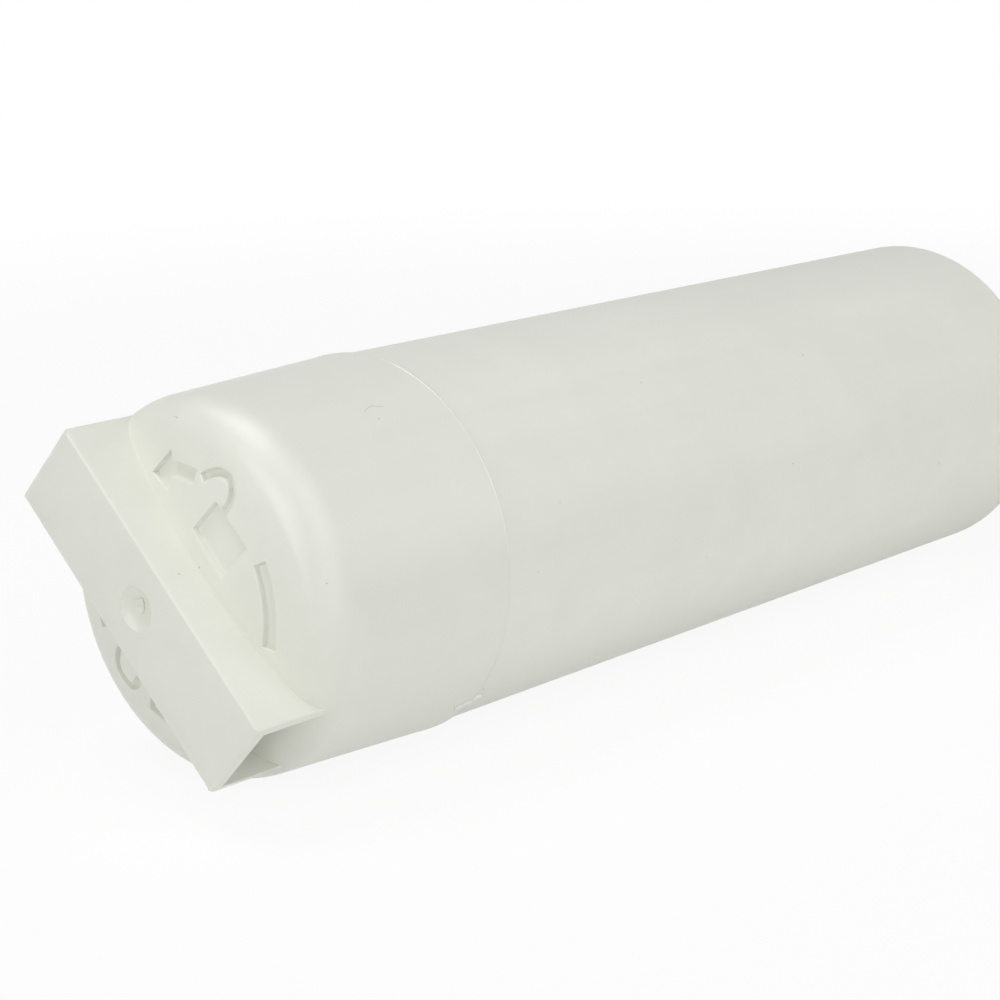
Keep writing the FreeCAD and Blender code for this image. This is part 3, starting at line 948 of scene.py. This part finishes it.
def copied(piece, count, first_angle):
    """Sets copies of a piece round the long axis."""
    run_tree(piece, COPIES, {"Count": count, "First angle": first_angle, "Finish": FINISHES["housing_plastic"]})
    tidy_normals(piece.data, CRISP)
    return piece


print("copies are set by the tree", COPIES.name)

# %% Lugs, ports and ribs
LUG_SPAN = math.radians(52.0)
LUG_RAMP = math.tan(math.radians(10.0))
LUG_STEPS = 20
LUG_REAR, LUG_FRONT = -6.5, -2.0
LUG_FOOT, LUG_TIP = 16.0, 22.0
PORT_R = 1.1
PORT_PITCH_R = 8.7
PORT_STEPS = 32
RIB_HALF = 1
RIB_IN, RIB_OUT = 13.5, 26.0
lug_mould = Moulding()
lug_rows = []
for turn in evenly(-LUG_SPAN / 2, LUG_SPAN / 2, LUG_STEPS):
    row = []
    for x, r in ((LUG_REAR, LUG_FOOT), (LUG_FRONT, LUG_FOOT), (LUG_FRONT, LUG_TIP), (LUG_REAR, LUG_TIP)):
        y = -r * math.sin(turn)
        rear = max(0.0, -y) * LUG_RAMP if x == LUG_REAR else 0.0
        row.append((x + rear, y, r * math.cos(turn)))
    lug_rows.append(lug_mould.ring(row))
lug_mould.skin(lug_rows)
lug_mould.faces += [tuple(lug_rows[0]), tuple(lug_rows[-1])]
lugs = copied(lug_mould.make("lugs"), 2, math.pi / 2 - BAR_TURN)
port_mould = Moulding()
port_mould.prism(*[
    [(x, PORT_R * math.sin(t), PORT_PITCH_R + PORT_R * math.cos(t)) for t in steps_round(PORT_STEPS)]
    for x in (14.7, 19.1)])
ports = copied(port_mould.make("ports"), 4, math.pi / 4 - BAR_TURN)
rib_mould = Moulding()
rib_mould.prism(*[
    [(x, -RIB_HALF, RIB_IN), (x, RIB_HALF, RIB_IN), (x, RIB_HALF, RIB_OUT), (x, -RIB_HALF, RIB_OUT)]
    for x in (-15.7, -11.6)])
ribs = copied(rib_mould.make("ribs"), 4, -BAR_TURN)
joined(housing, ports, "DIFFERENCE")
joined(housing, lugs, "UNION")
joined(housing, ribs, "UNION")
paint(housing, "housing_plastic")
tell("housing", housing)

# %% [markdown]
# ## The rubber rings
# An O-ring is a circle swung round the axis, with a fine mould line round its outside where the two halves
# of its tool met. The CAD rings have flats to save facets, and these round ones sit in the same grooves.


# %% O-rings
MOULD_LINE = 0.03
SECTION_STEPS = 32


def ring_outline(x, groove_r, section):
    """Round section resting on a groove's floor, with a low mould line."""
    points = []
    for k, turn in enumerate(evenly(0, 2 * math.pi, SECTION_STEPS)):
        reach = section / 2 if k == SECTION_STEPS // 4 else section / 2 - MOULD_LINE
        points.append((x + section / 2 * math.cos(turn), groove_r + section / 2 + reach * math.sin(turn)))
    return points


seals = {}
for name, x, groove_r, section, steps in (("inlet", 13.0, INLET_GROOVE_R, 2.65, 144),
                                          ("outlet", 26.5, OUTLET_GROOVE_R, 1.9, 96)):
    outline = ring_outline(x, groove_r, section)
    seals[name + "_o_ring"] = turned_piece(name + "_seal", outline, steps, FINISHES["seal_rubber"], 50.0)
tell("seals", *seals.values())

# %% [markdown]
# ## Weld flash
# Tube and cap are spin-welded, and a little plastic is pushed out of the joint. Most of it is trimmed, so only a
# low uneven bead on the rim and scattered crumbs in the corner below it are left. The crumbs repeat along a path,
# so a node tree sets them out with a fixed seed. The bead is one ring, its height a sum of waves.


# %% Node tree for crumbs
def flash_tree():
    sockets = [("Crumb", "Geometry"), ("Count", "Int"), ("Seam radius", "Float"), ("Seam place", "Float"),
               ("Seed", "Int"), ("Finish", "Material")]
    tree, start, end = new_tree("flash along the seam", sockets)
    points, move, copy = added(tree, "GeometryNode", "Points", "SetPosition", "InstanceOnPoints")
    angle, size = added(tree, "FunctionNode", "RandomValue", "RandomValue")
    place, turn, scale = added(tree, "ShaderNode", "CombineXYZ", "CombineXYZ", "CombineXYZ")
    around = angle.outputs[1]
    big = size.outputs[1]
    on_turn(tree, start["Seam radius"], around, place)
    wire(tree, (0.0, angle, 2), (2 * math.pi, angle, 3), (0.35, size, 2), (1.0, size, 3),
         (start["Seed"], angle, "Seed"), (sum_node(tree, "ADD", start["Seed"], 7), size, "Seed"),
         (start["Count"], points, "Count"), (start["Seam place"], place, "X"),
         (points.outputs[0], move, "Geometry"), (place.outputs[0], move, "Position"),
         (times(tree, around, -1), turn, "X"), (big, scale, "X"),
         (times(tree, big, big), scale, "Y"), (big, scale, "Z"),
         (move.outputs["Geometry"], copy, "Points"), (start["Crumb"], copy, "Instance"),
         (turn.outputs[0], copy, "Rotation"), (scale.outputs[0], copy, "Scale"))
    finished(tree, copy.outputs["Instances"], start["Finish"], end)
    return tree


FLASH = flash_tree()
print("crumbs are set by the tree", FLASH.name)


# %% Crumbs along the seam
SOFT = 60.0
CRUMB_FOOT = -0.2
CRUMB_SIDES = 14


def crumb(name, long, high, deep, seed):
    """A low ragged lump lying on the tube, longest round the seam."""
    shape = random.Random(seed)
    mould = Moulding()
    low = []
    top = []
    for turn in steps_round(CRUMB_SIDES):
        reach = 0.75 + 0.25 * shape.random()
        low.append((deep * reach * math.cos(turn), long * reach * math.sin(turn), CRUMB_FOOT))
        lump = high * (0.5 + 0.5 * shape.random())
        top.append((0.55 * deep * reach * math.cos(turn), 0.6 * long * reach * math.sin(turn), lump))
    rings = [mould.ring(low), mould.ring(top)]
    mould.band(*rings)
    mould.fan(rings[1], (0, 0, high))
    mould.fan(rings[0], (0, 0, CRUMB_FOOT))
    return mould.make(name, SOFT)


flash = crumb("weld_flash", 0.8, 0.22, 0.22, 4)
run_tree(flash, FLASH, {"Count": 26, "Seam radius": TUBE_R * MM, "Seam place": (SEAM_X + 0.1) * MM, "Seed": 11,
                        "Finish": FINISHES["cap_plastic"]})
tidy_normals(flash.data, SOFT)
tell("flash", flash)

# %% Bead on the rim
BEAD_STEPS = 360
BEAD_HIGH = 0.11
BOX_R = min(cap_high[1], cap_high[2]) / MM - 0.005
bead_ring = Moulding()
bead_rows = []
for turn in steps_round(BEAD_STEPS):
    wave = 0.55 + 0.25 * math.sin(7 * turn + 1) + 0.12 * math.sin(17 * turn + 2) + 0.08 * math.sin(41 * turn)
    top = min(RIM_R + BEAD_HIGH * wave, BOX_R / max(abs(math.cos(turn)), abs(math.sin(turn))))
    section = ((0.45, RIM_R - 0.05), (0.2, top), (0.05, top - 0.03), (-0.1, RIM_R - 0.22), (0.1, RIM_R - 0.5))
    bead_rows.append(bead_ring.ring([(SEAM_X - out, r * math.cos(turn), r * math.sin(turn)) for out, r in section]))
bead_ring.skin(bead_rows + bead_rows[:1])
bead = bead_ring.make("weld_bead", 20.0)
paint(bead, "cap_plastic")
tell("bead", bead)

# %% [markdown]
# ## A torn sliver and some dust
# Low on the seam one sliver of flash was torn instead of cut. It lies across the rim and has turned white where it
# was bent. A fibre and a few grains of dust lie on the cap. A texture could only stain the skin, so all of them are
# small meshes, set down where the photograph has them.


# %% Strands on the cap
def on_side(out, turn, lift):
    """A place on the cap's side or on the tube beyond the seam, at an angle in degrees from u."""
    r = RIM_R - CAP_SLOPE * out if out > 0 else TUBE_R
    angle = math.radians(turn)
    return Vector(on_cap((r + lift) * math.cos(angle), (r + lift) * math.sin(angle), out))


def thread(name, places, across, high, sides=8):
    """A closed strand through places on the cap, with a half width at each place and one height."""
    strand = Moulding()
    rows = []
    for i, place in enumerate(places):
        along = (places[min(i + 1, len(places) - 1)] - places[max(i - 1, 0)]).normalized()
        up = Vector((0, place.y, place.z)).normalized()
        beside = along.cross(up).normalized()
        rows.append([
            tuple(place + beside * across[i] * math.cos(t) + up * high * math.sin(t)) for t in steps_round(sides)])
    strand.pod(rows, tuple(places[0]), tuple(places[-1]))
    return strand.make(name, SOFT)


sliver_path = [(-2.1, -91.0, 0.10), (-1.5, -90.6, 0.12), (-0.8, -90.5, 0.14), (-0.2, -90.8, 0.20), (0.3, -90.9, 0.05),
               (0.9, -90.9, 0.02), (1.5, -91.6, 0.0), (2.2, -92.2, 0.0), (2.8, -92.6, 0.0)]
sliver_widths = [0.2, 0.5, 0.62, 0.5, 0.36, 0.38, 0.42, 0.35, 0.12]
sliver = thread("weld_sliver", [on_side(*place) for place in sliver_path], sliver_widths, 0.26)
fibre_path = smooth_path([(13.5, 12.4), (13.3, 13.0), (12.4, 13.8), (11.5, 14.0), (10.6, 13.2), (10.0, 12.7)])
FIBRE_R = 0.032
fibre_places = [on_side(out, turn, 0.02) for out, turn in fibre_path]
fibre = thread("lint_fibre", fibre_places, [FIBRE_R] * len(fibre_places), FIBRE_R, 6)
tell("strands", sliver, fibre)

# %% Grains of dust
GRAIN_ROWS = 6
GRAIN_SIDES = 10
grains = Moulding()
grit = random.Random(3)
grain_places = [(16.4, 17.5, 33.05, 0.20), (16.1, 17.9, 33.05, 0.14), (7.2, -0.3, 39.6, 0.16)]
grain_places += [(21.1, -14.2, 31.7, 0.18), (1.3, -27.4, -1.6, 0.16)]
for u, v, out, size in grain_places:
    rows = []
    for k in range(1, GRAIN_ROWS):
        tilt = math.pi * k / GRAIN_ROWS
        spread = [size * math.sin(tilt) * (0.8 + 0.3 * grit.random()) for _ in range(GRAIN_SIDES)]
        rows.append(ragged_ring(u, v, out + size * math.cos(tilt), spread))
    grains.pod(rows, on_cap(u, v, out + size), on_cap(u, v, out - size))
dust = grains.make("dust_grains", 80.0)
for piece, name in ((sliver, "whitened_plastic"), (fibre, "dust"), (dust, "dust")):
    paint(piece, name)
tell("grains", dust)

# %% [markdown]
# ## Riding on the model
# The cartridge has no moving joint, so every piece rides on the body named root. Pieces that stand for a CAD node
# hide it.

# %% Ride and replace
paint(cap, "cap_plastic")
for piece, slot, stands_for in (
    (cap, "cap_plastic", "handle_cap"),
    (housing, "housing_plastic", "housing"),
    (seals["inlet_o_ring"], "seal_rubber", "inlet_o_ring"),
    (seals["outlet_o_ring"], "seal_rubber", "outlet_o_ring"),
    (flash, "cap_plastic", None),
    (bead, "cap_plastic", None),
    (sliver, "cap_plastic", None),
    (fibre, "cap_plastic", None),
    (dust, "cap_plastic", None),
):
    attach(piece, "root")
    if stands_for:
        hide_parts(stands_for)
    print(piece.name, "rides on root")

# %% [markdown]
# ## Floor, light and camera
# The cartridge lies on a white sweep. The floor glows a little for the camera alone, so that it is white in the
# picture and still keeps a soft shadow, and the world does the same. Softboxes at the left, front, right and top give
# the gentle shading, and two narrow strips the streaks on the cap's rounded edge. A lamp beside the camera would be
# simpler, but then the signs lose their shadows. The camera's place and lens come from fitting the tube, the seam and
# the bar to the photograph.


# %% Floor
def camera_share(tree):
    """1 for rays that come straight from the camera or by reflection or glass, else 0."""
    rays = tree.nodes.new("ShaderNodeLightPath")
    seen = sum_node(tree, "MAXIMUM", rays.outputs["Is Camera Ray"], rays.outputs["Is Glossy Ray"])
    return sum_node(tree, "MAXIMUM", seen, rays.outputs["Is Transmission Ray"])


def mix_for_camera(tree, share, plain, bright, end):
    """Sends a mix of a plain shader and a bright one, by the bright one's share, to the tree's end node."""
    blend = tree.nodes.new("ShaderNodeMixShader")
    wire(tree, (share, blend, 0), (plain.outputs[0], blend, 1), (bright.outputs[0], blend, 2),
         (blend.outputs[0], tree.nodes[end], "Surface"))


FLOOR_Z = -RIM_R
FLOOR_REACH = 9.0
SHADOW_SHARE = 0.91
SWEEP_TONE = (0.93, 0.93, 0.92, 1.0)
floor_mesh = bpy.data.meshes.new("studio_floor")
corners = [(x * FLOOR_REACH, y * FLOOR_REACH, FLOOR_Z * MM) for x, y in ((-1, -1), (1, -1), (1, 1), (-1, 1))]
floor_mesh.from_pydata(corners, [], [(0, 1, 2, 3)])
floor = in_scene("studio_floor", floor_mesh)

sweep = bpy.data.materials.new("studio_sweep")
sweep.use_nodes = True
tree = sweep.node_tree
matt = tree.nodes["Principled BSDF"]
glow, away, place = added(tree, "ShaderNode", "Emission", "VectorMath", "TexCoord")
away.operation = "LENGTH"
wire(tree, (SWEEP_TONE, matt, "Base Color"), (0.9, matt, "Roughness"), (place.outputs["Object"], away, 0))
share = range_node(tree, away.outputs["Value"], 0.22, 0.5, SHADOW_SHARE, 1.0)
mix_for_camera(tree, times(tree, camera_share(tree), share), matt, glow, "Material Output")
floor_mesh.materials.append(sweep)
print("floor at z %.2f mm" % FLOOR_Z)

# %% World
world = bpy.data.worlds.new("studio_white")
world.use_nodes = True
bpy.context.scene.world = world
tree = world.node_tree
dim = tree.nodes["Background"]
white = tree.nodes.new("ShaderNodeBackground")
wire(tree, ((1.0, 1.0, 1.0, 1.0), dim, "Color"), (0.05, dim, "Strength"), (1.0, white, "Strength"))
mix_for_camera(tree, camera_share(tree), dim, white, "World Output")
print("world:", world.name)

# %% Lamps
SEAM = Vector((SEAM_X * MM, 0, 0))


def strip_lamp(name, low, high, wide, power):
    """Softbox stretched between two places, given from the seam, that looks at the seam."""
    low = Vector(low)
    high = Vector(high)
    away = ((low + high) / 2).normalized()
    up = (high - low - away * (high - low).dot(away)).normalized()
    light = bpy.data.lights.new(name, "AREA")
    light.shape = "RECTANGLE"
    light.size = wide
    light.size_y = (high - low).length
    light.energy = power
    lamp = in_scene(name, light)
    lamp.location = SEAM + (low + high) / 2
    lamp.rotation_euler = Matrix((up.cross(away), up, away)).transposed().to_euler()


strip_lamp("left_strip", (-0.846, -0.044, 0.074), (-0.431, 0.132, 0.721), 0.10, 0.36)
strip_lamp("left_softbox", (-0.83, 0.0, 0.08), (-0.68, 0.0, 0.48), 0.4, 1.6)
strip_lamp("front_softbox", (0.0, -0.78, 0.30), (0.0, -0.38, 0.80), 0.7, 1.7)
strip_lamp("low_softbox", (-0.20, -0.82, -0.02), (-0.20, -0.81, 0.16), 0.8, 0.95)
strip_lamp("front_strip", (-0.514, -0.635, 0.234), (-0.093, -0.645, 0.546), 0.05, 0.14)
strip_lamp("right_softbox", (0.57, -0.57, 0.02), (0.57, -0.57, 0.50), 0.5, 1.08)
strip_lamp("top_softbox", (-0.35, 0.35, 0.70), (-0.02, 0.02, 0.86), 0.5, 3.1)
print("lamps:", sorted(light.name for light in bpy.data.lights))

# %% Camera
LENS = 87.1
CAMERA_PLACE = Vector((-235.96, -239.97, 93.95)) * MM
CAMERA_LOOK = Vector((0.7166, 0.6505, -0.2516))
lens = bpy.data.cameras.new("photo_camera")
lens.lens = LENS
lens.sensor_width = 36.0
camera = in_scene("photo_camera", lens)
camera.location = SEAM + CAMERA_PLACE
camera.rotation_euler = CAMERA_LOOK.to_track_quat("-Z", "Y").to_euler()
bpy.context.scene.camera = camera
bpy.context.scene.view_settings.view_transform = "Standard"
print("camera %.0f mm from the seam, lens %.1f mm" % (CAMERA_PLACE.length / MM, LENS))
